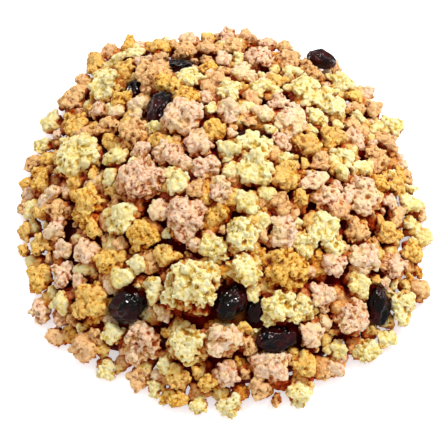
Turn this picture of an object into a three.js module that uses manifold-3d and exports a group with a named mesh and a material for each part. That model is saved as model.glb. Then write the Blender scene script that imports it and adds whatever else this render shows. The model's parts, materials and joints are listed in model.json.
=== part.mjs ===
// A loose heap of granola: crunchy oat clusters of uneven size, fused here into one solid over a
// plain core, and dried cherries that lie between them, each a solid of its own.
// Millimetres, +Z up, the origin in the middle of the flat underside, the front towards -Y.
import * as THREE from "three";
import { mergeVertices } from "three/addons/utils/BufferGeometryUtils.js";
import Module from "manifold-3d";

const wasm = await Module();
wasm.setup();

const UP = new THREE.Vector3(0, 0, 1);

// The heap's mean surface: a dome that ends in an edge about one cluster high.
const HEAP_RADIUS = 67.2; // to the middles of the outermost clusters
const HEAP_HEIGHT = 37;
const EDGE_HEIGHT = 6;
const DOME_POWER = 1.15; // over 1 gives the dome a soft foot

// Where the edge bulges out or draws in: the direction in degrees from +X, and by how much.
const EDGE_BULGES = [
  { towards: 20, by: -3 },
  { towards: 68, by: -1 },
  { towards: 120, by: 5 },
  { towards: 160, by: -2.5 },
  { towards: 190, by: -1.5 },
  { towards: 229, by: 2 },
  { towards: 243, by: -4 },
  { towards: 330, by: 4.5 },
];
const BULGE_HALF_WIDTH = 20; // degrees to where a bulge has all but gone

// The bare core lies under that surface, and clusters and cherries are bedded in it. It is lumpy
// with the small clusters that fill the gaps between the larger ones.
const CORE_INSET = 1.5; // of its edge, from the middles of the outermost clusters
const CORE_DEPTH = 3;
const CORE_EDGE = 2;
const CORE_DETAIL = 10;
const CORE_TOP_SHARE = 0.94; // of the ball's upper half that becomes its top, the rest being its edge
const CORE_BUMP = 2.2;
const CORE_BUMP_LENGTH = 9;

// A cluster: a rounded lobe in the middle and smaller ones round it, low and high by turns.
const CLUSTER_FLATNESS = 0.85; // its thickness as a share of its width
const CLUSTER_SINK = 0.3; // its middle lies this far under the mean surface, and a share of its width more
const CLUSTER_SINK_SHARE = 0.06;
const EDGE_CLUSTER_REST = 0.45; // height of a middle over the table at the edge, as a share of the thickness
const EDGE_BAND = 2.5; // how far in from the outermost middles a cluster lies on the table
const MIDDLE_LOBE = 0.37; // half its width, as a share of the cluster's
const OUTER_LOBES = [0.17, 0.3];
const OUTER_LOBE_COUNTS = [
  { from: 15, count: 7 },
  { from: 12, count: 6 },
  { from: 9, count: 5 },
  { from: 0, count: 4 },
];
const LOW_LOBES = [-0.35, 0.2]; // the sine of how far above the cluster's middle they lie
const HIGH_LOBES = [0.3, 0.85];
const LOBE_REACH = [0.9, 1.06]; // how far the outer lobes reach, as a share of half the width
const STRETCH = [1, 1.16]; // a cluster is this much longer than wide, one way or another
const SURFACE_ROUGHNESS = 0.2; // how far a corner is off the round lobe, as a share of its reach
const CORNER_REACH = 1.1; // corners stand out this much, so that the flats between them lie on the round
const MANY_SIDES_FROM = 16.5;
const FEW_SIDES_UNDER = 14;
const JOIN_SLIVER = 0.8; // corners nearer together than this, left along the joins, are made one
const SOCKET_SLIVER = 0.1; // and so are these, left round the sockets

// The clusters that fill in between those named below: first round the edge, then all over, the
// largest first.
const EDGE_SIZES = [7, 10]; // the smallest and the largest round the edge
const EDGE_STEPS = 180;
const FILL_SIZES = [11, 10, 9, 8];
const FILL_TRIES = 500; // darts thrown for each size
const FILL_SPACING = 0.4; // least distance apart, as a share of the two widths together

// A dried cherry, shrunk in folds along its length.
const CHERRY_FOLD = 0.09; // depth of its folds, as a share of its half width
const CHERRY_THICKNESS = 0.82; // as a share of its width
const SOCKET_GAP = 0.35; // left free all round it in the heap

// The places below are read as the eye sees them from the front, this far above the table, looking at
// a point of the table just in front of the heap's axis.
const VIEW_ELEVATION = THREE.MathUtils.degToRad(65);
const VIEW_DISTANCE = 480;
const VIEW_AIM_Y = -2.2;
const VIEW_PASSES = 12;

// The larger clusters, as seen: right of the middle, above the middle, width without the outermost
// grains, with which they are wider by this share.
const CLUSTER_GROWTH = 1.15;
const PALE_CLUSTERS = [
  [-38, 45, 13], [-10, 48, 10], [13, 45, 8], [28, 43, 14], [37, 38, 11], [40, 47, 9],
  [3, 44, 9], [-48, 21, 17], [-35, 22, 9], [11, 27, 9], [3, 24, 8], [12, 18, 12],
  [-14, 13, 9], [-33, 1, 10], [7, -4, 11], [8, -16, 11], [-2, -9, 9],
  [-23, -23, 8], [-8, -22, 19], [34, -2, 11], [38, -7, 8], [27, -7, 9], [46, 18, 8],
  [41, 22, 8], [61, -28, 10], [18, -28, 11], [27, -29, 10], [-11, -41, 13],
  [26, -56, 9], [3, -60, 8], [48, -42, 9], [63, 6, 7], [-36, -38, 7],
];
const PINK_CLUSTERS = [
  [-41, 37, 7], [-10, 61, 8], [1, 54, 7], [-13, 35, 14], [13, 54, 11], [23, 33, 12],
  [15, 36, 8], [4, 37, 9], [-28, 39, 7], [-57, 9, 8], [-27, 14, 15], [-17, 23, 10],
  [-7, 26, 9], [0, 11, 9], [-12, 2, 13], [31, 14, 8], [35, 8, 9], [21, -3, 10],
  [-55, -3, 8], [-45, -10, 8], [-53, -18, 8], [38, -14, 8], [48, -12, 11], [58, -15, 10],
  [47, 8, 14], [45, 27, 8], [44, -32, 12], [34, -25, 9], [17, -47, 12], [0, -38, 13],
  [-27, -40, 13], [-60, -29, 8], [31, -37, 8], [38, -48, 7], [2, -51, 8],
];
const GOLDEN_CLUSTERS = [
  [-32, 51, 8], [-30, 60, 7], [-21, 58, 8], [19, 47, 7], [-2, 31, 8], [-60, 14, 8],
  [-44, 5, 12], [22, 15, 10], [29, 26, 9], [21, -16, 14], [-37, -13, 10], [-60, -8, 8],
  [-61, -19, 9], [55, -3, 8], [53, 13, 7], [59, 12, 7], [64, -10, 8], [-43, -27, 13],
  [-26, -4, 10], [-14, -52, 8], [-16, -60, 8], [28, -48, 9], [-65, -2, 7],
];
const TOASTED_CLUSTERS = [
  [-49, 41, 10], [-23, 49, 12], [-1, 46, 9], [9, 61, 8], [23, 54, 9], [-29, 30, 11],
  [34, 20, 7], [46, -3, 9], [40, 4, 8], [56, 26, 8], [62, 16, 7],
  [44, 32, 7], [51, 38, 7], [-54, 4, 8], [-65, 6, 7], [-46, -42, 9], [13, -55, 7],
  [-27, -51, 8], [-42, -38, 6], [34, -49, 6],
];

// Bits that are as smooth as a bean, of several tones.
const SMOOTH_CLUSTERS = [
  [-33, -19, 8], [-54, -27, 7], [46, -21, 9], [10, -25, 6], [25, -38, 7], [35, -33, 6],
  [-53, -9, 7], [20, 6, 7], [-34, -8, 6],
];

// The dried cherries, as seen: right, above, length, width, turn of the length in degrees from the
// direction to the right, and how far each is sunk in the core. The deep ones show only in part, and
// one with a negative depth lies on top of the clusters.
const CHERRIES = [
  { right: -21, above: 39, length: 14, width: 8.5, turn: 82, sunk: 1 },
  { right: -14, above: 53, length: 11, width: 7.5, turn: 5, sunk: 2 },
  { right: 33, above: 52, length: 10.5, width: 7.5, turn: -12, sunk: -2.5 },
  { right: -31, above: -28, length: 13, width: 10, turn: 25, sunk: 0.5 },
  { right: 3, above: -27, length: 12.5, width: 9.5, turn: 70, sunk: 1 },
  { right: 19, above: -39, length: 13.5, width: 8, turn: 8, sunk: 0.5 },
  { right: 53, above: -28, length: 13, width: 7.5, turn: -80, sunk: 0.5 },
  { right: 10, above: 30, length: 9, width: 7, turn: 20, sunk: 3 },
  { right: 12, above: -30, length: 10, width: 6.5, turn: 80, sunk: 2.5 },
  { right: -30, above: 46, length: 9, width: 6.5, turn: 75, sunk: 2.5 },
];

// The same draws on each run, from the minimal standard generator.
const DRAW_FACTOR = 48271;
const DRAW_MODULUS = 2147483647;
const SEED_STEP = 1000003;
const FILL_SEED = 11;
const CHERRY_SEED = 5001;

function between([low, high], draw) {
  return low + (high - low) * draw();
}

function drawsFrom(seed) {
  let state = (seed * SEED_STEP) % DRAW_MODULUS;
  const draw = () => {
    state = (state * DRAW_FACTOR) % DRAW_MODULUS;
    return state / DRAW_MODULUS;
  };
  draw();
  return draw;
}

// How far from the axis the middles of the outermost clusters lie, in the direction of a point.
function edgeRadius(x, y) {
  const direction = THREE.MathUtils.radToDeg(Math.atan2(y, x));
  let radius = HEAP_RADIUS;
  for (const { towards, by } of EDGE_BULGES) {
    const away = THREE.MathUtils.euclideanModulo(direction - towards + 180, 360) - 180;
    radius += by * Math.exp(-3 * (away / BULGE_HALF_WIDTH) ** 2);
  }
  return radius;
}

function meanSurface(x, y) {
  const share = Math.min(Math.hypot(x, y) / edgeRadius(x, y), 1);
  const rise = Math.cos((share * Math.PI) / 2) ** DOME_POWER;
  return EDGE_HEIGHT + (HEAP_HEIGHT - EDGE_HEIGHT) * rise;
}

// The direction straight out of the mean surface.
function outwards(x, y) {
  const step = 1;
  return new THREE.Vector3(
    (meanSurface(x - step, y) - meanSurface(x + step, y)) / (2 * step),
    (meanSurface(x, y - step) - meanSurface(x, y + step)) / (2 * step),
    1,
  ).normalize();
}

// The point of the mean surface that the eye sees at this place, kept within the heap's edge.
function seenAt(right, above) {
  const sine = Math.sin(VIEW_ELEVATION);
  const cosine = Math.cos(VIEW_ELEVATION);
  let [x, y, z] = [right, above, 0];
  for (let pass = 0; pass < VIEW_PASSES; pass++) {
    const nearness = (VIEW_DISTANCE + (y - VIEW_AIM_Y) * cosine - z * sine) / VIEW_DISTANCE;
    x = right * nearness;
    y = VIEW_AIM_Y + (above * nearness - z * cosine) / sine;
    const inside = Math.min(1, edgeRadius(x, y) / Math.hypot(x, y));
    x *= inside;
    y *= inside;
    z = meanSurface(x, y);
  }
  return [x, y];
}

// The named clusters, then those round the edge, then smaller and smaller ones where there is room.
function clusterPlaces() {
  const rows = [PALE_CLUSTERS, PINK_CLUSTERS, GOLDEN_CLUSTERS, TOASTED_CLUSTERS, SMOOTH_CLUSTERS];
  const places = rows.flat().map(([right, above, size]) => {
    const [x, y] = seenAt(right, above);
    return { x, y, size: CLUSTER_GROWTH * size };
  });
  const bedded = CHERRIES.filter(({ sunk }) => sunk >= 0);
  const taken = bedded.map(({ right, above, width }) => {
    const [x, y] = seenAt(right, above);
    return { x, y, size: width };
  });
  const draw = drawsFrom(FILL_SEED);
  const placeIfFree = (share, turn, size) => {
    const reach = share * edgeRadius(Math.cos(turn), Math.sin(turn));
    const [x, y] = [reach * Math.cos(turn), reach * Math.sin(turn)];
    const free = [...places, ...taken].every(
      (other) => Math.hypot(x - other.x, y - other.y) > FILL_SPACING * (size + other.size),
    );
    if (free) places.push({ x, y, size });
  };
  for (let step = 0; step < EDGE_STEPS; step++) {
    const size = between(EDGE_SIZES, draw);
    placeIfFree(1, (2 * Math.PI * step) / EDGE_STEPS, size);
  }
  for (const size of FILL_SIZES) {
    for (let dart = 0; dart < FILL_TRIES; dart++) {
      placeIfFree(Math.sqrt(draw()), 2 * Math.PI * draw(), size);
    }
  }
  return places;
}

// The lobes of one cluster: the middle of each, seen from the cluster's own, and half its width.
function lobesOf(size, draw) {
  const { count } = OUTER_LOBE_COUNTS.find(({ from }) => size >= from);
  const start = 2 * Math.PI * draw();
  const lie = 2 * Math.PI * draw();
  const stretch = between(STRETCH, draw);
  const lobes = [{ middle: new THREE.Vector3(), half: MIDDLE_LOBE * size }];
  for (let index = 0; index < count; index++) {
    const angle = start + (2 * Math.PI * (index + 0.8 * (draw() - 0.5))) / count;
    const height = between(index % 2 ? HIGH_LOBES : LOW_LOBES, draw);
    const half = between(OUTER_LOBES, draw) * size;
    const offset = (between(LOBE_REACH, draw) * size) / 2 - half;
    const ring = Math.sqrt(1 - height ** 2);
    const [ahead, aside] = [ring * Math.cos(angle) * stretch, (ring * Math.sin(angle)) / stretch];
    const middle = new THREE.Vector3(ahead, aside, height).applyAxisAngle(UP, lie);
    lobes.push({ middle: middle.multiplyScalar(offset), half });
  }
  return lobes;
}

// How far the lobes reach from the cluster's middle in one direction.
function reachOfLobes(lobes, direction) {
  let most = 0;
  for (const { middle, half } of lobes) {
    const ahead = direction.dot(middle);
    const inside = ahead ** 2 - middle.lengthSq() + half ** 2;
    if (inside > 0) most = Math.max(most, ahead + Math.sqrt(inside));
  }
  return most;
}

function solidFrom(geometry) {
  for (const name of Object.keys(geometry.attributes)) {
    if (name !== "position") geometry.deleteAttribute(name);
  }
  const merged = mergeVertices(geometry, 1e-4);
  return new wasm.Manifold(
    new wasm.Mesh({
      numProp: 3,
      vertProperties: merged.attributes.position.array,
      triVerts: new Uint32Array(merged.index.array),
    }),
  );
}

function meshFrom(name, solid, material) {
  const { vertProperties, triVerts } = solid.getMesh();
  const geometry = new THREE.BufferGeometry();
  geometry.setAttribute("position", new THREE.BufferAttribute(vertProperties, 3));
  geometry.setIndex(new THREE.BufferAttribute(triVerts, 1));
  const flat = geometry.toNonIndexed();
  flat.computeVertexNormals();
  const mesh = new THREE.Mesh(flat, material);
  mesh.name = name;
  return mesh;
}

// A closed ball of few sides whose corners are moved by a rule of their own direction.
function ball(geometry, pointOf) {
  geometry.deleteAttribute("normal");
  geometry.deleteAttribute("uv");
  const merged = mergeVertices(geometry, 1e-4);
  const places = merged.attributes.position;
  const corner = new THREE.Vector3();
  for (let index = 0; index < places.count; index++) {
    corner.copy(pointOf(corner.fromBufferAttribute(places, index).normalize()));
    places.setXYZ(index, corner.x, corner.y, corner.z);
  }
  return merged;
}

function coreHeight(x, y) {
  const wave = (2 * Math.PI) / CORE_BUMP_LENGTH;
  const bump = Math.sin(wave * x + Math.cos(wave * y)) * Math.cos(wave * y - Math.sin(wave * x));
  return Math.max(meanSurface(x, y) - CORE_DEPTH + CORE_BUMP * bump, CORE_EDGE);
}

function coreSolid() {
  const steepest = (CORE_TOP_SHARE * Math.PI) / 2;
  return solidFrom(
    ball(new THREE.IcosahedronGeometry(1, CORE_DETAIL), (direction) => {
      const steep = Math.acos(Math.abs(direction.z));
      const share = Math.min(steep / steepest, 1);
      const round = Math.hypot(direction.x, direction.y) || 1;
      const edge = edgeRadius(direction.x, direction.y) - CORE_INSET;
      const x = (share * edge * direction.x) / round;
      const y = (share * edge * direction.y) / round;
      const top = direction.z > 0 ? coreHeight(x, y) : 0;
      if (steep <= steepest) return new THREE.Vector3(x, y, top);
      const rise = (Math.asin(direction.z) / (Math.PI / 2 - steepest) + 1) / 2;
      return new THREE.Vector3(x, y, coreHeight(x, y) * rise);
    }),
  );
}

function clusterBall(size) {
  if (size < FEW_SIDES_UNDER) return new THREE.DodecahedronGeometry(1, 0);
  return new THREE.IcosahedronGeometry(1, size < MANY_SIDES_FROM ? 1 : 2);
}

// The cluster's own frame: its middle in the heap, and its thickness straight out of the surface.
function clusterFrame({ x, y, size }) {
  const atEdge = Math.hypot(x, y) > edgeRadius(x, y) - EDGE_BAND;
  const normal = atEdge ? UP : outwards(x, y);
  const sink = CLUSTER_SINK + CLUSTER_SINK_SHARE * size;
  const middle = new THREE.Vector3(x, y, meanSurface(x, y)).addScaledVector(normal, -sink);
  if (atEdge) middle.z = EDGE_CLUSTER_REST * size * CLUSTER_FLATNESS;
  return new THREE.Matrix4().compose(
    middle,
    new THREE.Quaternion().setFromUnitVectors(UP, normal),
    new THREE.Vector3(1, 1, 1),
  );
}

function clusterSolid(place, seed) {
  const draw = drawsFrom(seed);
  const lobes = lobesOf(place.size, draw);
  const geometry = ball(clusterBall(place.size), (direction) => {
    const rough = CORNER_REACH + SURFACE_ROUGHNESS * (draw() - 0.5);
    const reach = reachOfLobes(lobes, direction) * rough;
    return direction.clone().multiplyScalar(reach);
  });
  geometry.scale(1, 1, CLUSTER_FLATNESS);
  geometry.applyMatrix4(clusterFrame(place));
  return solidFrom(geometry);
}

// A cherry, or with a margin the socket that the heap leaves free for it.
function cherrySolid({ right, above, length, width, turn, sunk }, seed, margin) {
  const draw = drawsFrom(seed);
  const phase = 2 * Math.PI * draw();
  const twist = 1 + draw();
  const [x, y] = seenAt(right, above);
  const normal = outwards(x, y);
  const half = new THREE.Vector3(length / 2, width / 2, (width * CHERRY_THICKNESS) / 2);
  const lift = half.z * 0.9 - CORE_DEPTH - sunk;
  const geometry = ball(new THREE.IcosahedronGeometry(1, 2), (direction) => {
    const around = Math.atan2(direction.z, direction.y);
    const taper = Math.sqrt(Math.max(0, 1 - direction.x ** 2));
    const fold = Math.sin(5 * around + twist * direction.x + phase) * taper;
    const dimple = Math.sin(3 * around - 4 * direction.x + 2 * phase) * taper;
    const reach = 1 + CHERRY_FOLD * (fold + 0.5 * dimple);
    return new THREE.Vector3(
      direction.x * (half.x + margin),
      direction.y * (half.y * reach + margin),
      direction.z * (half.z * reach + margin),
    );
  });
  geometry.rotateZ(THREE.MathUtils.degToRad(turn));
  geometry.applyMatrix4(
    new THREE.Matrix4().compose(
      new THREE.Vector3(x, y, meanSurface(x, y)).addScaledVector(normal, lift),
      new THREE.Quaternion().setFromUnitVectors(UP, normal),
      new THREE.Vector3(1, 1, 1),
    ),
  );
  return solidFrom(geometry);
}

// Everything below the table, which the clusters at the edge are cut off by.
function belowTable() {
  const depth = 40;
  const side = 4 * HEAP_RADIUS;
  return solidFrom(new THREE.BoxGeometry(side, side, depth).translate(0, 0, -depth / 2));
}

// The one body of a cut solid that is the heap, without the scraps that a cut leaves loose.
function largestBody(solid) {
  return solid.decompose().reduce((most, body) => (body.volume() > most.volume() ? body : most));
}

function heapSolid() {
  let heap = coreSolid();
  clusterPlaces().forEach((place, index) => {
    heap = heap.add(clusterSolid(place, index + 1));
  });
  heap = heap.subtract(belowTable()).asOriginal().simplify(JOIN_SLIVER);
  CHERRIES.forEach((cherry, index) => {
    heap = heap.subtract(cherrySolid(cherry, CHERRY_SEED + index, SOCKET_GAP));
  });
  return largestBody(heap.asOriginal().simplify(SOCKET_SLIVER));
}

const granola = new THREE.Group();
granola.name = "granola";

const oatClusters = new THREE.MeshStandardMaterial({ color: "#d9ae6b", roughness: 0.75, metalness: 0 });
granola.add(meshFrom("granola_heap", heapSolid(), oatClusters));

CHERRIES.forEach((cherry, index) => {
  const driedCherry = new THREE.MeshStandardMaterial({ color: "#2c1216", roughness: 0.35, metalness: 0 });
  const solid = cherrySolid(cherry, CHERRY_SEED + index, 0);
  granola.add(meshFrom(`cherry_${index + 1}`, solid, driedCherry));
});

export default granola;
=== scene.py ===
"""A loose heap of granola: crunchy oat clusters in four tones over a lumpy core darkened by
painted shade, with dried cherries between them, on a plain white table."""

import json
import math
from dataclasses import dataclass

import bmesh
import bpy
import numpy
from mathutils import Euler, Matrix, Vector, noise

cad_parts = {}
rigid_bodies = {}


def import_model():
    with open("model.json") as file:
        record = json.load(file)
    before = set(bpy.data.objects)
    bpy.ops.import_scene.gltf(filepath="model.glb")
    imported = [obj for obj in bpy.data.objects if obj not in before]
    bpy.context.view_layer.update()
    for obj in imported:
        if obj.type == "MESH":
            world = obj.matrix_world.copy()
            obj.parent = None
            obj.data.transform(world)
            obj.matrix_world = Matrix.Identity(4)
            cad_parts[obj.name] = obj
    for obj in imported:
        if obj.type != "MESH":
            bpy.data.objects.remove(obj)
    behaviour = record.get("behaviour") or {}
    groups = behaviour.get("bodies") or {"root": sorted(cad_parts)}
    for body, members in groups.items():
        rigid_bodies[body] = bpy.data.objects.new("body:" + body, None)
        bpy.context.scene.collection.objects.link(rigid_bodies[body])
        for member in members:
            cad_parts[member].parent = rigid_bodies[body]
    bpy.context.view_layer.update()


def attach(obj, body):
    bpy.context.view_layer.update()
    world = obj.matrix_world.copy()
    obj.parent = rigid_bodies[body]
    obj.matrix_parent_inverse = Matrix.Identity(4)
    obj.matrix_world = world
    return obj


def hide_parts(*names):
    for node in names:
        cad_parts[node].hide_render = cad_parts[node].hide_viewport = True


bl_info = {
    "name": "Heap of Granola",
    "version": (1, 0, 0),
    "blender": (4, 5, 0),
    "location": "View3D > Sidebar > Granola",
    "description": "Makes a loose heap of granola clusters and dried cherries",
    "category": "Add Mesh",
}

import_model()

MM = 0.001  # the sizes below are in millimetres, and the meshes are made in them and then scaled
UP = Vector((0, 0, 1))

# The heap's mean surface, as in its solid: a dome that ends in an edge about one cluster high.
HEAP_RADIUS = 67.2
HEAP_HEIGHT = 37
EDGE_HEIGHT = 6
DOME_POWER = 1.15

# Where the edge bulges out or draws in: the direction in degrees from +X, and by how much.
EDGE_BULGES = (
    (20, -3), (68, -1), (120, 5), (160, -2.5), (190, -1.5), (229, 2), (243, -4), (330, 4.5),
)
BULGE_HALF_WIDTH = 20  # degrees to where a bulge has all but gone

# A cluster, as in its solid: a lobe in the middle and smaller ones round it, low and high by turns.
CLUSTER_FLATNESS = 0.85
CLUSTER_SINK = 0.3  # how far its middle lies under the mean surface, and more for a wide one
CLUSTER_SINK_SHARE = 0.06
EDGE_CLUSTER_REST = 0.45  # how high its middle lies at the edge, as a share of its thickness
EDGE_BAND = 2.5  # this near the edge it lies on the table
MIDDLE_LOBE = 0.37  # half its width, for each millimetre of the cluster's
OUTER_LOBES = (0.17, 0.3)
LOBE_REACH = (0.9, 1.06)
LOBE_JITTER = 0.8  # how unevenly they stand round it, as a share of the way to the next
STRETCH = (1.0, 1.16)
OUTER_LOBE_COUNTS = ((0, 4), (9, 5), (12, 6), (15, 7))  # from this size on, and how many
LOW_LOBES = (-0.35, 0.2)  # the sine of how far above the cluster's middle they lie
HIGH_LOBES = (0.3, 0.85)

# The clusters that fill in between the named ones. Those round the edge and those of the fill
# sizes are in the solid too.
EDGE_SIZES = (7, 10)
EDGE_STEPS = 180
FILL_SIZES = (11, 10, 9, 8)
FILL_TRIES = 500
FILL_SPACING = 0.4
SMALL_SIZES = (7, 6, 5, 4)
SMALL_TRIES = 1200
SMALL_SPACING = 0.36
SMALL_EXTRA_SINK = 0.3  # extra depth for each millimetre under the smallest fill size
BIT_SIZES = (3.6, 3.1, 2.7)  # loose bits in the gaps
BIT_TRIES = 900
BIT_SPACING = 0.4

# The clusters under those, which show in the gaps.
LOWER_SIZES = (11, 10, 9, 8, 7, 6)
LOWER_TRIES = 900
LOWER_SPACING = 0.36
LOWER_SINK = 2.8
LOWER_INSET = 0.97  # of the way to the edge
LOWER_RINGS = (0.96, 0.87)  # shares of the way to the edge, for those that close the heap's foot
LOWER_RING_SIZES = (6.5, 9)
LOWER_RING_STEPS = 120

# The places below are read as the eye sees them from the front, this far above the table,
# looking at a point of the table just in front of the heap's axis.
VIEW_ELEVATION = math.radians(65)
VIEW_DISTANCE = 480
VIEW_AIM_Y = -2.2
VIEW_PASSES = 12
FRAME_WIDTH = 145.3  # what the picture is wide at that point
AIM_RIGHT = -0.8  # how far the picture's middle is from that point, as seen
AIM_ABOVE = 3.3

# The larger clusters, as seen: right of the middle, above the middle, width.
NAMED_CLUSTERS = {
    "pale": (
        (-38, 45, 13), (-10, 48, 10), (13, 45, 8), (28, 43, 14), (37, 38, 11), (40, 47, 9),
        (3, 44, 9), (-48, 21, 17), (-35, 22, 9), (11, 27, 9), (3, 24, 8), (12, 18, 12),
        (-14, 13, 9), (-33, 1, 10), (7, -4, 11), (8, -16, 11), (-2, -9, 9),
        (-23, -23, 8), (-8, -22, 19), (34, -2, 11), (38, -7, 8), (27, -7, 9), (46, 18, 8),
        (41, 22, 8), (61, -28, 10), (18, -28, 11), (27, -29, 10), (-11, -41, 13),
        (26, -56, 9), (3, -60, 8), (48, -42, 9), (63, 6, 7), (-36, -38, 7),
    ),
    "pink": (
        (-41, 37, 7), (-10, 61, 8), (1, 54, 7), (-13, 35, 14), (13, 54, 11), (23, 33, 12),
        (15, 36, 8), (4, 37, 9), (-28, 39, 7), (-57, 9, 8), (-27, 14, 15), (-17, 23, 10),
        (-7, 26, 9), (0, 11, 9), (-12, 2, 13), (31, 14, 8), (35, 8, 9), (21, -3, 10),
        (-55, -3, 8), (-45, -10, 8), (-53, -18, 8), (38, -14, 8), (48, -12, 11), (58, -15, 10),
        (47, 8, 14), (45, 27, 8), (44, -32, 12), (34, -25, 9), (17, -47, 12), (0, -38, 13),
        (-27, -40, 13), (-60, -29, 8), (31, -37, 8), (38, -48, 7), (2, -51, 8),
    ),
    "golden": (
        (-32, 51, 8), (-30, 60, 7), (-21, 58, 8), (19, 47, 7), (-2, 31, 8), (-60, 14, 8),
        (-44, 5, 12), (22, 15, 10), (29, 26, 9), (21, -16, 14), (-37, -13, 10), (-60, -8, 8),
        (-61, -19, 9), (55, -3, 8), (53, 13, 7), (59, 12, 7), (64, -10, 8), (-43, -27, 13),
        (-26, -4, 10), (-14, -52, 8), (-16, -60, 8), (28, -48, 9), (-65, -2, 7),
    ),
    "toasted": (
        (-49, 41, 10), (-23, 49, 12), (-1, 46, 9), (9, 61, 8), (23, 54, 9), (-29, 30, 11),
        (34, 20, 7), (46, -3, 9), (40, 4, 8), (56, 26, 8), (62, 16, 7),
        (44, 32, 7), (51, 38, 7), (-54, 4, 8), (-65, 6, 7), (-46, -42, 9), (13, -55, 7),
        (-27, -51, 8), (-42, -38, 6), (34, -49, 6),
    ),
}
# Bits that are as smooth as a bean, among the same tones.
SMOOTH_CLUSTERS = {
    "pale": ((-33, -19, 8), (-54, -27, 7), (46, -21, 9), (10, -25, 6)),
    "pink": ((25, -38, 7), (35, -33, 6), (-53, -9, 7)),
    "toasted": ((20, 6, 7), (-34, -8, 6)),
}
CLUSTER_GROWTH = 1.15  # a cluster's grains reach this much further than the mass that the rows give
TONE_SHARES = (("pale", 0.38), ("pink", 0.6), ("golden", 0.82), ("toasted", 1.0))

# The dried cherries, as seen: right, above, length, width, turn in degrees, and how far sunk.
CHERRIES = (
    (-21, 39, 14, 8.5, 82, 1),
    (-14, 53, 11, 7.5, 5, 2),
    (33, 52, 10.5, 7.5, -12, -2.5),
    (-31, -28, 13, 10, 25, 0.5),
    (3, -27, 12.5, 9.5, 70, 1),
    (19, -39, 13.5, 8, 8, 0.5),
    (53, -28, 13, 7.5, -80, 0.5),
    (10, 30, 9, 7, 20, 3),
    (12, -30, 10, 6.5, 80, 2.5),
    (-30, 46, 9, 6.5, 75, 2.5),
)
CORE_DEPTH = 3  # of the solid's core, which the cherries are bedded in
CHERRY_FOLD = 0.09
CHERRY_THICKNESS = 0.82

# The same draws on each run, from the minimal standard generator.
DRAW_FACTOR = 48271
DRAW_MODULUS = 2147483647
SEED_STEP = 1000003
FILL_SEED = 11
TONE_SEED = 23
GRAIN_SEED = 3001
CHERRY_SEED = 5001
LOWER_SEED = 7001
WARP_SEED = 9001  # of Blender's own noise vectors, which would differ from run to run without one
LARGE_FROM = 10.5  # the size from which a cluster is in its tone's piece of large ones


class Draws:
    """A stream of numbers from 0 to 1 that depends on its seed alone."""

    def __init__(self, seed):
        self.state = seed * SEED_STEP % DRAW_MODULUS
        self()

    def __call__(self):
        self.state = self.state * DRAW_FACTOR % DRAW_MODULUS
        return self.state / DRAW_MODULUS

    def between(self, low, high):
        return low + (high - low) * self()


@dataclass
class Place:
    """One cluster: where it is on the mean surface, its width and tone, and how far it is sunk."""

    x: float
    y: float
    size: float
    tone: str = ""
    smooth: bool = False
    sunk: float = 0


# ---------------------------------------------------------------- The heap's form


def edge_radius(x, y):
    """How far from the axis the middles of the outermost clusters lie, in a point's direction."""
    direction = math.degrees(math.atan2(y, x))
    radius = HEAP_RADIUS
    for towards, by in EDGE_BULGES:
        away = (direction - towards + 180) % 360 - 180
        radius += by * math.exp(-3 * (away / BULGE_HALF_WIDTH) ** 2)
    return radius


def mean_surface(x, y):
    share = min(math.hypot(x, y) / edge_radius(x, y), 1)
    rise = max(math.cos(share * math.pi / 2), 0) ** DOME_POWER
    return EDGE_HEIGHT + (HEAP_HEIGHT - EDGE_HEIGHT) * rise


def outwards(x, y):
    """The direction straight out of the mean surface."""
    step = 1
    return Vector((
        (mean_surface(x - step, y) - mean_surface(x + step, y)) / (2 * step),
        (mean_surface(x, y - step) - mean_surface(x, y + step)) / (2 * step),
        1,
    )).normalized()


def seen_at(right, above):
    """The point of the mean surface that the eye sees at this place, within the heap's edge."""
    sine, cosine = math.sin(VIEW_ELEVATION), math.cos(VIEW_ELEVATION)
    x, y, z = right, above, 0
    for _ in range(VIEW_PASSES):
        nearness = (VIEW_DISTANCE + (y - VIEW_AIM_Y) * cosine - z * sine) / VIEW_DISTANCE
        x = right * nearness
        y = VIEW_AIM_Y + (above * nearness - z * cosine) / sine
        inside = min(1, edge_radius(x, y) / math.hypot(x, y))
        x *= inside
        y *= inside
        z = mean_surface(x, y)
    return x, y


def drawn_tone(draw):
    value = draw()
    return next(tone for tone, share in TONE_SHARES if value <= share)


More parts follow.
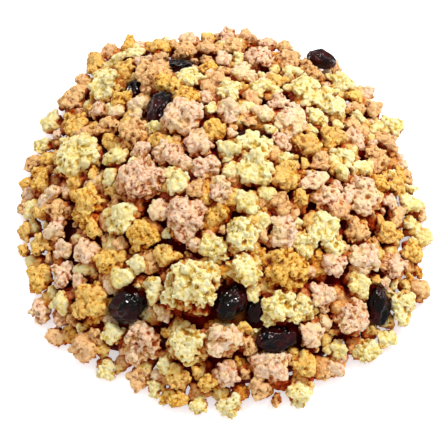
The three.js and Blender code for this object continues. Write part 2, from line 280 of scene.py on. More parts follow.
def cluster_places():
    """The clusters of the top layer, the named ones first, and those of the lower layer."""
    places = [
        Place(*seen_at(right, above), CLUSTER_GROWTH * size, tone, table is SMOOTH_CLUSTERS)
        for table in (NAMED_CLUSTERS, SMOOTH_CLUSTERS)
        for tone, rows in table.items()
        for right, above, size in rows
    ]
    taken = [
        Place(*seen_at(right, above), width)
        for right, above, _, width, _, sunk in CHERRIES
        if sunk >= 0
    ]
    lower = []
    draw = Draws(FILL_SEED)
    tone_draw = Draws(TONE_SEED)

    def place_if_free(share, turn, size, spacing, near, into, sunk=0):
        reach = share * edge_radius(math.cos(turn), math.sin(turn))
        x, y = reach * math.cos(turn), reach * math.sin(turn)
        for other in near:
            if math.hypot(x - other.x, y - other.y) <= spacing * (size + other.size):
                return
        near.append(Place(x, y, size, drawn_tone(tone_draw), sunk=sunk))
        into.append(near[-1])

    near = places + taken
    smallest, largest = EDGE_SIZES
    for step in range(EDGE_STEPS):
        size = draw.between(smallest, largest)
        place_if_free(1, 2 * math.pi * step / EDGE_STEPS, size, FILL_SPACING, near, places)
    for sizes, tries, spacing in (
        (FILL_SIZES, FILL_TRIES, FILL_SPACING),
        (SMALL_SIZES, SMALL_TRIES, SMALL_SPACING),
        (BIT_SIZES, BIT_TRIES, BIT_SPACING),
    ):
        for size in sizes:
            for _ in range(tries):
                share, turn = math.sqrt(draw()), 2 * math.pi * draw()
                place_if_free(share, turn, size, spacing, near, places)
    near = list(taken)
    smallest, largest = LOWER_RING_SIZES
    for share in LOWER_RINGS:
        for step in range(LOWER_RING_STEPS):
            turn, size = 2 * math.pi * step / LOWER_RING_STEPS, draw.between(smallest, largest)
            place_if_free(share, turn, size, LOWER_SPACING, near, lower, LOWER_SINK)
    for size in LOWER_SIZES:
        for _ in range(LOWER_TRIES):
            share, turn = LOWER_INSET * math.sqrt(draw()), 2 * math.pi * draw()
            place_if_free(share, turn, size, LOWER_SPACING, near, lower, LOWER_SINK)
    return places, lower


# ---------------------------------------------------------------- Clusters


@dataclass
class Crumb:
    """How the grains on one tone's clusters look, in millimetres."""

    smallest: float
    largest: float
    spacing: float
    proud: float  # how far a grain stands out of its lobe, as a share of its radius
    crevice: float  # how deep the crevices between crumbs are


CRUMBS = {
    "pale": Crumb(0.5, 1.2, 1.7, 0.6, 0.5),
    "pink": Crumb(0.5, 1.1, 1.6, 0.5, 0.5),
    "golden": Crumb(0.5, 1.1, 1.6, 0.5, 0.55),
    "toasted": Crumb(0.5, 1.2, 1.7, 0.55, 0.55),
}
GOLDEN_ANGLE = math.pi * (3 - math.sqrt(5))
GRAIN_LOWEST = -0.5  # grains below this on a lobe would only be on its hidden underside
GRAIN_FLATNESS = (0.55, 0.95)
GRAIN_SPREAD = (1.15, 0.9)  # its length and width, in its own diameters
GRAIN_JITTER = 0.4  # how far round the lobe it may be moved, in radians
GRAIN_HIDDEN = 0.8  # left out from this deep in another lobe, in its own radii
GRAIN_BED = 0.65  # how deep the lobes lie under their grains, in radii of a large grain
GRAIN_LEAST = 0.6  # how large the grains on a tiny lobe are, as a share of the full size
GRAIN_RISE = 8  # the share grows by one for so many millimetres of the lobe's half width
KNOB = 1.7  # of the uneven surface of the lobes and grains
KNOB_LENGTH = 4.2
WARP = 0.6  # how far the crumbs are pushed about, so that they aren't alike
WARP_LENGTH = 1.5
CRUMB_LAYERS = ((1.9, 0.7), (1.05, 0.75))  # how wide crumbs are, and the share of their relief
CRUMB_LIFT = 1.5  # how uneven in height crumbs are, as a share of their crevices' depth
CRUMB_TOP = 0.35  # how proud the middle of a crumb is, as such a share
CRUMB_FALL = 1.6  # how steeply it falls away from there
CRUMB_SCATTER = 7.3  # sets the heights of neighbouring crumbs apart
NOISE_SHIFT = 100  # how far apart two clusters may be in the noise, so that they aren't alike
SMOOTH_RELIEF = 0.7  # the relief that the finish reads on a smooth bit
SMOOTHING = 0.3  # of the fused skin
VOXEL = 0.47
LOWER_VOXEL = 0.85
UNDERSIDE = 4.5  # how far under the mean surface the hidden underside of a cluster is cut away
LOWER_UNDERSIDE = 7.5
SPECK_VERTS = 30  # an island of fewer is a speck
CREASE = (-1.6, 0.5)  # from the lobes' own round: what counts as wholly sunk, and as wholly proud


def lobes_of(size, draw):
    """The lobes of one cluster: the middle of each, from the cluster's own, and half its width."""
    count = max(number for least, number in OUTER_LOBE_COUNTS if size >= least)
    start, lie = 2 * math.pi * draw(), 2 * math.pi * draw()
    stretch = draw.between(*STRETCH)
    lobes = [(Vector((0, 0, 0)), MIDDLE_LOBE * size)]
    for index in range(count):
        angle = start + 2 * math.pi * (index + LOBE_JITTER * (draw() - 0.5)) / count
        height = draw.between(*(HIGH_LOBES if index % 2 else LOW_LOBES))
        half = draw.between(*OUTER_LOBES) * size
        offset = draw.between(*LOBE_REACH) * size / 2 - half
        ring = math.sqrt(1 - height**2)
        spot = Vector((stretch * ring * math.cos(angle), ring * math.sin(angle) / stretch, height))
        spot.rotate(Euler((0, 0, lie)))
        lobes.append((spot * offset, half))
    return lobes


def reach_of_lobes(lobes, direction):
    """How far the lobes reach from the cluster's middle in one direction."""
    most = 0
    for middle, half in lobes:
        ahead = direction.dot(middle)
        inside = ahead**2 - middle.length_squared + half**2
        if inside > 0:
            most = max(most, ahead + math.sqrt(inside))
    return most


def cluster_sink(place):
    """How far the cluster's middle lies under the mean surface."""
    extra = SMALL_EXTRA_SINK * max(FILL_SIZES[-1] - place.size, 0)
    return CLUSTER_SINK + CLUSTER_SINK_SHARE * place.size + extra + place.sunk


def is_at_edge(place):
    return math.hypot(place.x, place.y) > edge_radius(place.x, place.y) - EDGE_BAND


def cluster_frame(place):
    """The cluster's own frame: its middle in the heap, its thickness out of the surface."""
    x, y = place.x, place.y
    if is_at_edge(place):
        normal = UP
        middle = Vector((x, y, EDGE_CLUSTER_REST * place.size * CLUSTER_FLATNESS))
    else:
        normal = outwards(x, y)
        middle = Vector((x, y, mean_surface(x, y))) - cluster_sink(place) * normal
    turned = UP.rotation_difference(normal).to_matrix().to_4x4()
    return Matrix.Translation(middle) @ turned @ Matrix.Diagonal((1, 1, CLUSTER_FLATNESS, 1))


def grain_growth(half):
    """How large the grains on a lobe of this half width are, as a share of their full size."""
    return min(1, GRAIN_LEAST + half / GRAIN_RISE)


def add_grains(bm, lobes, index, crumb, draw):
    """Grains all over one lobe, apart from where it is inside another or faces down."""
    middle, half = lobes[index]
    growth = grain_growth(half)
    count = int(4 * math.pi * half**2 / (crumb.spacing * growth) ** 2)
    for grain in range(count):
        height = 1 - 2 * (grain + 0.5) / count
        turn = grain * GOLDEN_ANGLE + draw.between(-GRAIN_JITTER, GRAIN_JITTER)
        ring = math.sqrt(1 - height**2)
        direction = Vector((ring * math.cos(turn), ring * math.sin(turn), height))
        radius = draw.between(crumb.smallest, crumb.largest) * growth
        spot = middle + direction * (half - (1 - crumb.proud) * radius)
        tilt = Euler((math.pi * draw(), math.pi * draw(), math.pi * draw()))
        flatness = draw.between(*GRAIN_FLATNESS)
        hidden = any(
            (spot - other).length < other_half - GRAIN_HIDDEN * radius
            for number, (other, other_half) in enumerate(lobes)
            if number != index
        )
        if hidden or height < GRAIN_LOWEST:
            continue
        bmesh.ops.create_icosphere(
            bm,
            subdivisions=1,
            radius=radius,
            matrix=Matrix.Translation(spot)
            @ tilt.to_matrix().to_4x4()
            @ Matrix.Diagonal((*GRAIN_SPREAD, flatness, 1)),
        )


class Workbench:
    """A working object, removed when done, whose live modifiers fuse whatever is put in it into one
    smooth skin.
    """

    def __init__(self, voxel):
        self.mesh = bpy.data.meshes.new("work")
        self.object = bpy.data.objects.new("work", self.mesh)
        bpy.context.scene.collection.objects.link(self.object)
        remesh = self.object.modifiers.new("Fuse", "REMESH")
        remesh.mode = "VOXEL"
        remesh.voxel_size = voxel
        smooth = self.object.modifiers.new("Smooth", "SMOOTH")
        smooth.factor = SMOOTHING

    def fused(self, bm):
        """The skin of all that is in bm, which it frees."""
        bm.to_mesh(self.mesh)
        bm.free()
        self.mesh.update()
        depsgraph = bpy.context.evaluated_depsgraph_get()
        evaluated = self.object.evaluated_get(depsgraph)
        skin = bmesh.new()
        skin.from_mesh(evaluated.to_mesh())
        evaluated.to_mesh_clear()
        return skin

    def gather(self, bm, gathered):
        """Moves the finished mesh in bm to the end of the gathered one."""
        bm.to_mesh(self.mesh)
        bm.free()
        gathered.from_mesh(self.mesh)

    def clear_away(self):
        bpy.data.objects.remove(self.object)
        bpy.data.meshes.remove(self.mesh)


def cut_underside(bm, height):
    """Cuts off what lies below this height and closes the cut."""
    everything = bm.verts[:] + bm.edges[:] + bm.faces[:]
    bmesh.ops.bisect_plane(
        bm, geom=everything, plane_co=(0, 0, height), plane_no=(0, 0, 1), clear_inner=True
    )
    rim = [edge for edge in bm.edges if edge.is_boundary]
    if rim:
        bmesh.ops.holes_fill(bm, edges=rim, sides=0)
    bm.normal_update()


def drop_specks(bm):
    """Drops the loose specks that fusing leaves where two grains all but touch."""
    met, specks = set(), []
    for first in bm.verts:
        if first in met:
            continue
        met.add(first)
        island = [first]
        for vert in island:
            for edge in vert.link_edges:
                other = edge.other_vert(vert)
                if other not in met:
                    met.add(other)
                    island.append(other)
        if len(island) < SPECK_VERTS:
            specks += island
    bmesh.ops.delete(bm, geom=specks, context="VERTS")


def smooth_share(low, high, value):
    share = min(max((value - low) / (high - low), 0), 1)
    return share * share * (3 - 2 * share)


def knobs(point, shift):
    """How far the skin stands out at a point by the lumps that make each cluster another shape."""
    return KNOB * noise.noise((point + shift) / KNOB_LENGTH)


def crumbs(point, crevice, shift):
    """How far the skin stands out at a point by crumbs with crevices between them."""
    spot = point + shift + WARP * noise.noise_vector((point + shift) / WARP_LENGTH)
    out = 0
    for width, share in CRUMB_LAYERS:
        distances, middles = noise.voronoi(spot / width)
        lift = noise.noise(middles[0] * CRUMB_SCATTER)
        rise = CRUMB_LIFT * lift + CRUMB_TOP - CRUMB_FALL * distances[0] ** 2
        out += crevice * share * rise
    return out


def clear_of_cherries(point, near):
    """The point, or the nearest one beside the cherries that it would be in or over."""
    for to_cherry, from_cherry, half in near:
        local = to_cherry @ point
        height = local.z / half.z / (OPEN_ABOVE if local.z > 0 else 1)
        aside = math.hypot(local.x / half.x, local.y / half.y)
        limit = 1 + SOCKET_ROUGHNESS * max(noise.noise(point / SOCKET_LUMPS), 0)
        if 0 < aside and abs(height) < limit and math.hypot(aside, height) < limit:
            out = math.sqrt(limit**2 - height**2) / aside
            point = from_cherry @ Vector((local.x * out, local.y * out, local.z))
    return point


def beside_cherries(lobe, to_heap, near):
    """The lobe, moved to beside the cherries that it would be in."""
    middle, half = lobe
    for to_cherry, from_cherry, socket in near:
        local = to_cherry @ to_heap @ middle
        depth = Vector((local.x / socket.x, local.y / socket.y, local.z / socket.z)).length
        short = LOBE_CLEARANCE * half - local.length * (1 - 1 / max(depth, 0.01))
        if short > 0:
            aside = Vector((local.x, local.y, LOBE_LIFT * local.z)).normalized()
            middle = to_heap.inverted() @ (from_cherry @ (local + short * aside))
    return middle, half


class Marks:
    """What the finish needs to know of each vertex of a piece."""

    NAMES = ("relief", "tint")

    def __init__(self):
        self.values = {name: [] for name in self.NAMES}

    def add(self, **marks):
        for name, value in marks.items():
            self.values[name].append(value)

    def write(self, mesh):
        for name, values in self.values.items():
            mesh.attributes.new(name, "FLOAT", "POINT").data.foreach_set("value", values)


def make_cluster(place, seed, bench, gathered, marks, cherries):
    """Adds one cluster to the gathered mesh: lobes, the grains on them, knobs and crumbs."""
    draw = Draws(seed)
    to_heap = cluster_frame(place)
    centre = to_heap.translation
    near = [c for c in cherries if (c[1].translation - centre).length < c[2].x + place.size]
    lobes = [beside_cherries(lobe, to_heap, near) for lobe in lobes_of(place.size, draw)]
    crumb = CRUMBS[place.tone]
    grain_draw = Draws(GRAIN_SEED + seed)
    bm = bmesh.new()
    for index, (middle, half) in enumerate(lobes):
        bed = 0 if place.smooth else GRAIN_BED * crumb.largest * grain_growth(half)
        bmesh.ops.create_icosphere(
            bm, subdivisions=2, radius=half - bed, matrix=Matrix.Translation(middle)
        )
        if not place.smooth:
            add_grains(bm, lobes, index, crumb, grain_draw)
    shift = Vector((grain_draw(), grain_draw(), grain_draw())) * NOISE_SHIFT
    tint = grain_draw()
    skin = bench.fused(bm)
    if is_at_edge(place):
        floor = -EDGE_CLUSTER_REST * place.size
    else:
        underside = LOWER_UNDERSIDE if place.sunk else UNDERSIDE
        floor = (cluster_sink(place) - underside) / CLUSTER_FLATNESS
    cut_underside(skin, floor)
    drop_specks(skin)
    for vert in skin.verts:
        out = crumbs(vert.co, crumb.crevice, shift)
        outward = vert.co.normalized()
        relief = vert.co.length + out - reach_of_lobes(lobes, outward)
        own = vert.co + vert.normal * out + outward * knobs(vert.co, shift)
        point = clear_of_cherries(to_heap @ own, near)
        point.z = max(point.z, 0)
        vert.co = point
        # The finish paints shade where this relief is low and light where it is high
        relief = SMOOTH_RELIEF if place.smooth else smooth_share(*CREASE, relief)
        marks.add(relief=relief, tint=tint)
    bench.gather(skin, gathered)


# ---------------------------------------------------------------- Cherries

CHERRY_SOCKET = 0.2  # the clusters keep this clear of the cherries
OPEN_ABOVE = 1.2  # how much higher than the cherry itself the space over it is that they leave open
SOCKET_ROUGHNESS = 0.3  # how far the wall round that space stands back, as a share of the cherry
SOCKET_LUMPS = 1.7  # how long the lumps of that wall are
LOBE_CLEARANCE = 0.95  # how much of a lobe keeps clear of the cherries
LOBE_LIFT = 0.3  # the share of its move that may be upwards
CHERRY_REST = 0.9  # how high its middle lies over its bed, as a share of its half thickness
FOLD_COUNT = 5  # folds round a cherry
DIMPLE_COUNT = 3  # broader folds over those
DIMPLE_TWIST = 4  # how far these turn along half the cherry, in radians
DIMPLE_SHARE = 0.5  # how deep they are, as a share of the others
# The ridges over a cherry: how dense they are, and their height as a share of its half width.
WRINKLES = ((1.4, 0.15), (2.9, 0.07), (5.5, 0.03))
WRINKLE_RISE = 0.25  # the share of a wrinkle's height that is above the cherry's own round
WRINKLE_STRETCH = 0.6  # under 1 draws the ridges out along the cherry
DENT = 0.3
DENT_DENSITY = 1.1
DENT_SHIFT = Vector((5, 5, 5))  # keeps the dents apart from the ridges in the noise


def cherry_frame(cherry):
    right, above, length, width, turn, sunk = cherry
    x, y = seen_at(right, above)
    normal = outwards(x, y)
    half = Vector((length / 2, width / 2, width * CHERRY_THICKNESS / 2))
    middle = Vector((x, y, mean_surface(x, y))) + (half.z * CHERRY_REST - CORE_DEPTH - sunk) * normal
    turned = UP.rotation_difference(normal).to_matrix().to_4x4()
    to_heap = Matrix.Translation(middle) @ turned @ Matrix.Rotation(math.radians(turn), 4, "Z")
    return to_heap, half


def cherry_sockets():
    """Each cherry's frame both ways, and half its size with the gap that the clusters keep."""
    sockets = []
    for cherry in CHERRIES:
        to_heap, half = cherry_frame(cherry)
        grown = half * (1 + CHERRY_FOLD) + Vector((1, 1, 1)) * CHERRY_SOCKET
        sockets.append((to_heap.inverted(), to_heap, grown))
    return sockets


def make_cherry(cherry, seed):
    """A shrunken ball: the folds of its solid, with finer wrinkles over them."""
    draw = Draws(seed)
    phase = 2 * math.pi * draw()
    twist = 1 + draw()
    to_heap, half = cherry_frame(cherry)
    bm = bmesh.new()
    bmesh.ops.create_icosphere(bm, subdivisions=5, radius=1)
    for vert in bm.verts:
        direction = vert.co.normalized()
        around = math.atan2(direction.z, direction.y)
        taper = math.sqrt(max(0, 1 - direction.x**2))
        fold = math.sin(FOLD_COUNT * around + twist * direction.x + phase) * taper
        turned = DIMPLE_COUNT * around - DIMPLE_TWIST * direction.x + 2 * phase
        reach = 1 + CHERRY_FOLD * (fold + DIMPLE_SHARE * math.sin(turned) * taper)
        spot = Vector((WRINKLE_STRETCH * direction.x, direction.y, direction.z))
        spot += Vector((phase, twist, 0))
        ridges = sum(
            height * (WRINKLE_RISE - 2 * abs(noise.noise(spot * density)))
            for density, height in WRINKLES
        )
        dent = DENT * min(0, noise.noise(spot * DENT_DENSITY + DENT_SHIFT))
        vert.co = to_heap @ Vector((
            direction.x * half.x * (1 + ridges + dent),
            direction.y * half.y * (reach + ridges + dent),
            direction.z * half.z * (reach + ridges + dent),
        ))
    return bm


# ---------------------------------------------------------------- The core

CORE_UNDER = 6.5  # how far the bare core lies under the mean surface
CORE_BUMP = 3
CORE_BUMP_LENGTH = 3.4
CORE_LEAST_HEIGHT = 1
CORE_EDGE_INSET = 8
CORE_TOP_SHARE = 0.94  # of the ball's upper half, which makes the top; the rest makes the wall


def make_core(bm, marks):
    """The heap's inside, darkened by painted shade, which shows only where a gap goes right through
    the clusters.
    """
    bmesh.ops.create_icosphere(bm, subdivisions=6, radius=1)
    level = math.pi / 2
    for vert in bm.verts:
        direction = vert.co.normalized()
        angle = math.acos(min(abs(direction.z), 1))
        if direction.z > 0:
            share = min(angle / level / CORE_TOP_SHARE, 1)
            up_the_wall = min((level - angle) / level / (1 - CORE_TOP_SHARE), 1)
        else:
            share, up_the_wall = angle / level, 0
        reach = share * (edge_radius(direction.x, direction.y) - CORE_EDGE_INSET)
        flat = Vector((direction.x, direction.y))
        x, y = flat.normalized() * reach if flat.length > 0 else flat
        nearest = noise.voronoi(Vector((x, y, 0)) / CORE_BUMP_LENGTH)[0][0]
        bump = CORE_BUMP * (0.5 - nearest)
        top = max(mean_surface(x, y) - CORE_UNDER + bump, CORE_LEAST_HEIGHT)
        vert.co = (x, y, up_the_wall * top)
        # relief is low between the bumps, where the finish paints shade
        marks.add(relief=1 - nearest, tint=0.5)


# ---------------------------------------------------------------- Shade in the gaps

SKY_CELL = 0.8
SKY_REACHES = (1.4, 2.6, 4.2, 6.6)
SKY_DIRECTIONS = 10
SKY_SLACK = 0.4  # a rise that counts as level, because a cell holds its highest point
HIDDEN = (0.3, 0.85)  # the shares of hidden sky at which the shade begins and is full


class Skyline:
    """The tops of all the pieces, to tell how much of the sky a point of them doesn't see."""

    def __init__(self, reach):
        self.reach = reach
        count = math.ceil(2 * reach / SKY_CELL)
        self.tops = numpy.zeros((count, count))

    def cells(self, x, y):
        last = len(self.tops) - 1
        return tuple(
            numpy.clip(((value + self.reach) / SKY_CELL).astype(int), 0, last) for value in (x, y)
        )

    def add(self, points):
        numpy.maximum.at(self.tops, self.cells(points[:, 0], points[:, 1]), points[:, 2])

    def hidden(self, points):
        x, y, z = points.T
        total = numpy.zeros(len(points))
        for step in range(SKY_DIRECTIONS):
            turn = 2 * math.pi * step / SKY_DIRECTIONS
            slope = numpy.zeros(len(points))
            for reach in SKY_REACHES:
                cells = self.cells(x + reach * math.cos(turn), y + reach * math.sin(turn))
                slope = numpy.maximum(slope, (self.tops[cells] - z - SKY_SLACK) / reach)
            total += slope / numpy.sqrt(1 + slope**2)
        return total / SKY_DIRECTIONS


def points_of(mesh):
    """The vertices of a finished mesh, in millimetres."""
    flat = numpy.empty(3 * len(mesh.vertices))
    mesh.vertices.foreach_get("co", flat)
    return flat.reshape(-1, 3) / MM


def write_shade(meshes, reach):
    """Marks each vertex of these meshes with how deep in the gaps it lies."""
    skyline = Skyline(reach)
    for mesh in meshes:
        skyline.add(points_of(mesh))
    low, high = HIDDEN
    for mesh in meshes:
        share = numpy.clip((skyline.hidden(points_of(mesh)) - low) / (high - low), 0, 1)
        mesh.attributes.new("shade", "FLOAT", "POINT").data.foreach_set("value", share)


# ---------------------------------------------------------------- Finishes


def linear(red, green, blue):
    """A colour as a screen shows it, 0 to 255, in the linear values that a shader takes."""

    def channel(value):
        value /= 255
        return value / 12.92 if value <= 0.04045 else ((value + 0.055) / 1.055) ** 2.4

    return channel(red), channel(green), channel(blue)


class Wire:
    """A socket's value, for use in Python expressions."""

    def __init__(self, graph, socket):
        self.graph = graph
        self.socket = socket

    def _math(self, operation, *values, clamp=False):
        settings = {"operation": operation, "use_clamp": clamp}
        return self.graph.node("ShaderNodeMath", settings, dict(enumerate(values)))

    def __add__(self, other):
        return self._math("ADD", self, other)

    def __sub__(self, other):
        return self._math("SUBTRACT", self, other)

    def __rsub__(self, other):
        return self._math("SUBTRACT", other, self)

    def __mul__(self, other):
        return self._math("MULTIPLY", self, other)

    __radd__ = __add__
    __rmul__ = __mul__

    def clamped(self):
        return self._math("ADD", self, 0, clamp=True)


class Graph:
    """The node tree of one material."""

    def __init__(self, material):
        material.use_nodes = True
        self.tree = material.node_tree
        self.tree.nodes.clear()

    def node(self, kind, settings=None, values=None, output=0):
        """Makes a node, with its settings first and then its sockets, and gives one output."""
        made = self.tree.nodes.new(kind)
        for name, value in (settings or {}).items():
            if name == "stops":
                self._set_stops(made.color_ramp, value)
            else:
                setattr(made, name, value)
        for name, value in (values or {}).items():
            if isinstance(value, Wire):
                self.tree.links.new(value.socket, made.inputs[name])
            else:
                made.inputs[name].default_value = value
        return Wire(self, made.outputs[output])

    @staticmethod
    def _set_stops(ramp, stops):
        while len(ramp.elements) < len(stops):
            ramp.elements.new(1)
        for element, (position, colour) in zip(ramp.elements, stops):
            element.position = position
            element.color = (*colour, 1)

    def mark(self, name):
        """One of the marks written on the piece's vertices."""
        return self.node("ShaderNodeAttribute", {"attribute_name": name}, output="Fac")

    def place(self):
        return self.node("ShaderNodeTexCoord", output="Object")

    def cloud(self, scale, detail=2, roughness=0.5):
        """Soft noise from 0 to 1, with so many waves to a metre."""
        values = {"Vector": self.place(), "Scale": scale, "Detail": detail, "Roughness": roughness}
        return self.node("ShaderNodeTexNoise", {}, values, output="Fac")

    def warped(self, scale, amount):
        """Places in the piece, moved about by up to half this amount in metres."""
        values = {"Vector": self.place(), "Scale": scale}
        noise_colour = self.node("ShaderNodeTexNoise", {}, values, output="Color")
        values = {0: noise_colour, 1: (amount,) * 3, 2: self.place()}
        return self.node("ShaderNodeVectorMath", {"operation": "MULTIPLY_ADD"}, values)

    def cells(self, scale, places):
        """The distance from the middle of the nearest of so many cells to a metre."""
        values = {"Vector": places, "Scale": scale}
        return self.node("ShaderNodeTexVoronoi", {}, values, output="Distance")

    def steps(self, value, stops):
        return self.node("ShaderNodeValToRGB", {"stops": stops}, {"Fac": value}, output="Color")

    def mix(self, share, first, second, blend="MIX"):
        settings = {"data_type": "RGBA", "blend_type": blend}
        first, second = (c if isinstance(c, Wire) else (*c, 1) for c in (first, second))
        return self.node("ShaderNodeMix", settings, {0: share, 6: first, 7: second}, output=2)

    def bump(self, height, strength, distance):
        values = {"Height": height, "Strength": strength, "Distance": distance}
        return self.node("ShaderNodeBump", {}, values)

    def finish(self, **values):
        """The shader and the material's output."""
        named = {name.replace("_", " "): value for name, value in values.items()}
        shader = self.node("ShaderNodeBsdfPrincipled", {}, named)
        output = self.tree.nodes.new("ShaderNodeOutputMaterial")
        self.tree.links.new(shader.socket, output.inputs["Surface"])


# How many to a metre on the oats: cells of crumbs and specks, waves of grit, blush and odd crumbs.
CRUMB_CELLS = 820
SPECK_CELLS = 430
GRIT_WAVES = 2100
BLUSH_WAVES = 130
ODD_CRUMB_WAVES = 480
RELIEF_DEPTH = 0.0008  # of the bump in the finish of the oats, in metres
WRINKLE_DEPTH = 0.0005  # and of the cherries
SHADE_STOPS = (0.34, 0.7)  # how deep in a gap the half shade and the shade are reached


def oat_finish(name, crease, body, crown, blush, shades):
    """Baked oats: painted shade in the creases and pits, painted light on the grains, crumbs of
    another tone.
    """
    material = bpy.data.materials.new(name)
    graph = Graph(material)
    relief, shade, tint = graph.mark("relief"), graph.mark("shade"), graph.mark("tint")
    crumbs = 1 - graph.cells(CRUMB_CELLS, graph.warped(1300, 0.0008))
    grit = graph.cloud(GRIT_WAVES, detail=3, roughness=0.65)
    specks = ((0.2 - graph.cells(SPECK_CELLS, graph.warped(900, 0.001))) * 9).clamped()
    # fine makes the real bump; in the colour it is also painted shade in the crumbs' rims and the
    # pits
    fine = crumbs * 0.7 + grit * 0.6 - specks * 0.5
    # Painted shade in the creases and pits, painted light on the proud crowns
    level = (relief * 0.7 + fine * 1.5 - 0.86 + (tint - 0.5) * 0.25).clamped()
    colour = graph.steps(level, ((0.05, crease), (0.4, body), (0.85, crown)))
    patches = (graph.cloud(BLUSH_WAVES, detail=1) * 3 - 1.4 + (tint - 0.5)).clamped()
    colour = graph.mix(patches * 0.45, colour, blush)
    odd_crumbs = (graph.cloud(ODD_CRUMB_WAVES, detail=1) * 5 - 2.7).clamped()
    colour = graph.mix(odd_crumbs * 0.5, colour, blush)
    # Painted shade: the gaps' shade mark, more in the creases and pits, multiplies every tone
    shaded = (shade + (0.5 - relief) * 0.15 + (0.6 - fine) * 0.35).clamped()
    colour = graph.mix(1.0, colour, graph.steps(shaded, shades), "MULTIPLY")
    graph.finish(
        Base_Color=colour,
        Roughness=graph.cloud(600) * 0.25 + 0.55,
        Specular_IOR_Level=0.08,
        Normal=graph.bump(fine, 0.9, RELIEF_DEPTH),
    )
    return material


def core_finish(colour, shades):
    """The inside: toasted oats in patches, with painted shade between the bumps and in the gaps like
    the clusters.
    """
    material = bpy.data.materials.new("Granola in the gaps")
    graph = Graph(material)
    relief, shade = graph.mark("relief"), graph.mark("shade")
    # Darker in random patches, the oats' own tone, and between the bumps, as painted shade
    patchy = (graph.cloud(300, detail=3) * 2 + relief - 1).clamped()
    shown = graph.mix(patchy, tuple(0.45 * c for c in colour), colour)
    graph.finish(
        Base_Color=graph.mix(1.0, shown, graph.steps(shade, shades), "MULTIPLY"),
        Roughness=graph.cloud(500) * 0.2 + 0.7,
        Specular_IOR_Level=0.05,
        Normal=graph.bump(graph.cloud(900, detail=3), 0.8, RELIEF_DEPTH),
    )
    return material


def cherry_finish(skin, flesh, gloss):
    """Dried cherry: near-black wrinkled skin, dark red where it is thin, with a sticky gloss."""
    material = bpy.data.materials.new("Dried cherry")
    graph = Graph(material)
    patches = (graph.cloud(190, detail=2) * 4 - 1.8).clamped()
    graph.finish(
        Base_Color=graph.mix(patches, skin, flesh),
        Roughness=graph.cloud(900, detail=2) * 0.12 + (0.35 - 0.35 * gloss),
        Specular_IOR_Level=0.16,
        Normal=graph.bump(graph.cloud(650, detail=1), 1.0, WRINKLE_DEPTH),
    )
    return material


# ---------------------------------------------------------------- Settings


def colour_setting(name, description, red, green, blue):
    return bpy.props.FloatVectorProperty(
        name=name, description=description, subtype="COLOR", size=3, min=0, max=1,
        default=linear(red, green, blue),
    )


class GranolaToneSettings(bpy.types.PropertyGroup):
    """The colours of the four tones of clusters."""

    # The crowns are the tones with painted light, the creases the tones with painted shade
    pale_crown: colour_setting("Pale, crown", "Tops of the pale grains", 252, 243, 196)
    pale_body: colour_setting("Pale, body", "Body of the pale clusters", 248, 226, 146)
    pale_crease: colour_setting("Pale, crease", "Creases of the pale clusters", 200, 164, 52)
    pink_crown: colour_setting("Pink, crown", "Tops of the pink grains", 251, 221, 192)
    pink_body: colour_setting("Pink, body", "Body of the pink clusters", 236, 184, 146)
    pink_crease: colour_setting("Pink, crease", "Creases of the pink clusters", 160, 80, 42)
    golden_crown: colour_setting("Golden, crown", "Tops of the golden grains", 252, 216, 126)
    golden_body: colour_setting("Golden, body", "Body of the golden clusters", 236, 176, 64)
    golden_crease: colour_setting("Golden, crease", "Creases of the golden clusters", 150, 74, 8)
    toasted_crown: colour_setting("Toasted, crown", "Tops of the toasted grains", 249, 206, 142)
    toasted_body: colour_setting("Toasted, body", "Body of the toasted clusters", 226, 170, 106)
    toasted_crease: colour_setting("Toasted, crease", "Creases of the toasted clusters", 132, 64, 18)
    lemon: colour_setting("Lemon", "The odd crumbs on pale clusters", 240, 210, 96)
    # Painted shade in the gaps: these multiply every tone, from the sides down to the bottom of a
    # gap
    half_shade: colour_setting("Half shade", "What the sides are tinted by", 238, 208, 152)
    shade: colour_setting("Shade", "What the sides are tinted by further down", 198, 86, 34)
    deep: colour_setting("Deep", "What all is tinted by at the bottom of a gap", 132, 5, 4)


class GranolaCherrySettings(bpy.types.PropertyGroup):
    """The look of the dried cherries."""

    skin: colour_setting("Skin", "Skin of the dried cherries", 8, 3, 4)
    flesh: colour_setting("Flesh", "Where the skin is thin", 62, 9, 12)
    gloss: bpy.props.FloatProperty(
        name="Gloss", description="How sticky the skin looks", subtype="FACTOR",
        min=0, max=1, default=0.8,
    )


class GranolaStageSettings(bpy.types.PropertyGroup):
    """The table, the lights and the camera."""

    table_size: bpy.props.FloatProperty(
        name="Table size", description="Side of the white table", unit="LENGTH",
        default=3.0, min=0.5,
    )
    key_power: bpy.props.FloatProperty(
        name="Key light", description="Power of the light behind on the right", unit="POWER",
        default=10.6, min=0,
    )
    glint_power: bpy.props.FloatProperty(
        name="Glints", description="Power of the small light that makes glints", unit="POWER",
        default=30, min=0,
    )
    fill_strength: bpy.props.FloatProperty(
        name="Fill", description="Strength of the white room light", default=0.7, min=0
    )


# ---------------------------------------------------------------- Operators

TABLE_DROP = 0.05  # millimetres, so that the table and the heap's flat underside don't share a face
TABLE_COLOUR = (0.93, 0.93, 0.925, 1)
TABLE_GLOW = 0.55

# The lamps' places and widths, in metres.
KEY_PLACE, KEY_WIDTH = (0.5, 0.42, 0.95), 0.3
GLINT_PLACE, GLINT_WIDTH = (-0.3, 0.35, 1.05), 0.22
LAMP_COLOUR = (1, 0.985, 0.95)
SENSOR_WIDTH = 36


def add_piece(name, bm, material):
    """Makes a finished piece of a mesh in millimetres."""
    bmesh.ops.scale(bm, vec=(MM, MM, MM), verts=bm.verts)
    mesh = bpy.data.meshes.new(name)
    bm.to_mesh(mesh)
    bm.free()
    mesh.shade_smooth()
    mesh.materials.append(material)
    piece = bpy.data.objects.new(name, mesh)
    bpy.context.scene.collection.objects.link(piece)
    return piece


def gap_shades(tones):
    """What every tone is tinted by from an open top down to the bottom of a gap."""
    half_shade_at, shade_at = SHADE_STOPS
    return (
        (0, (1, 1, 1)), (half_shade_at, tones.half_shade), (shade_at, tones.shade), (1, tones.deep),
    )


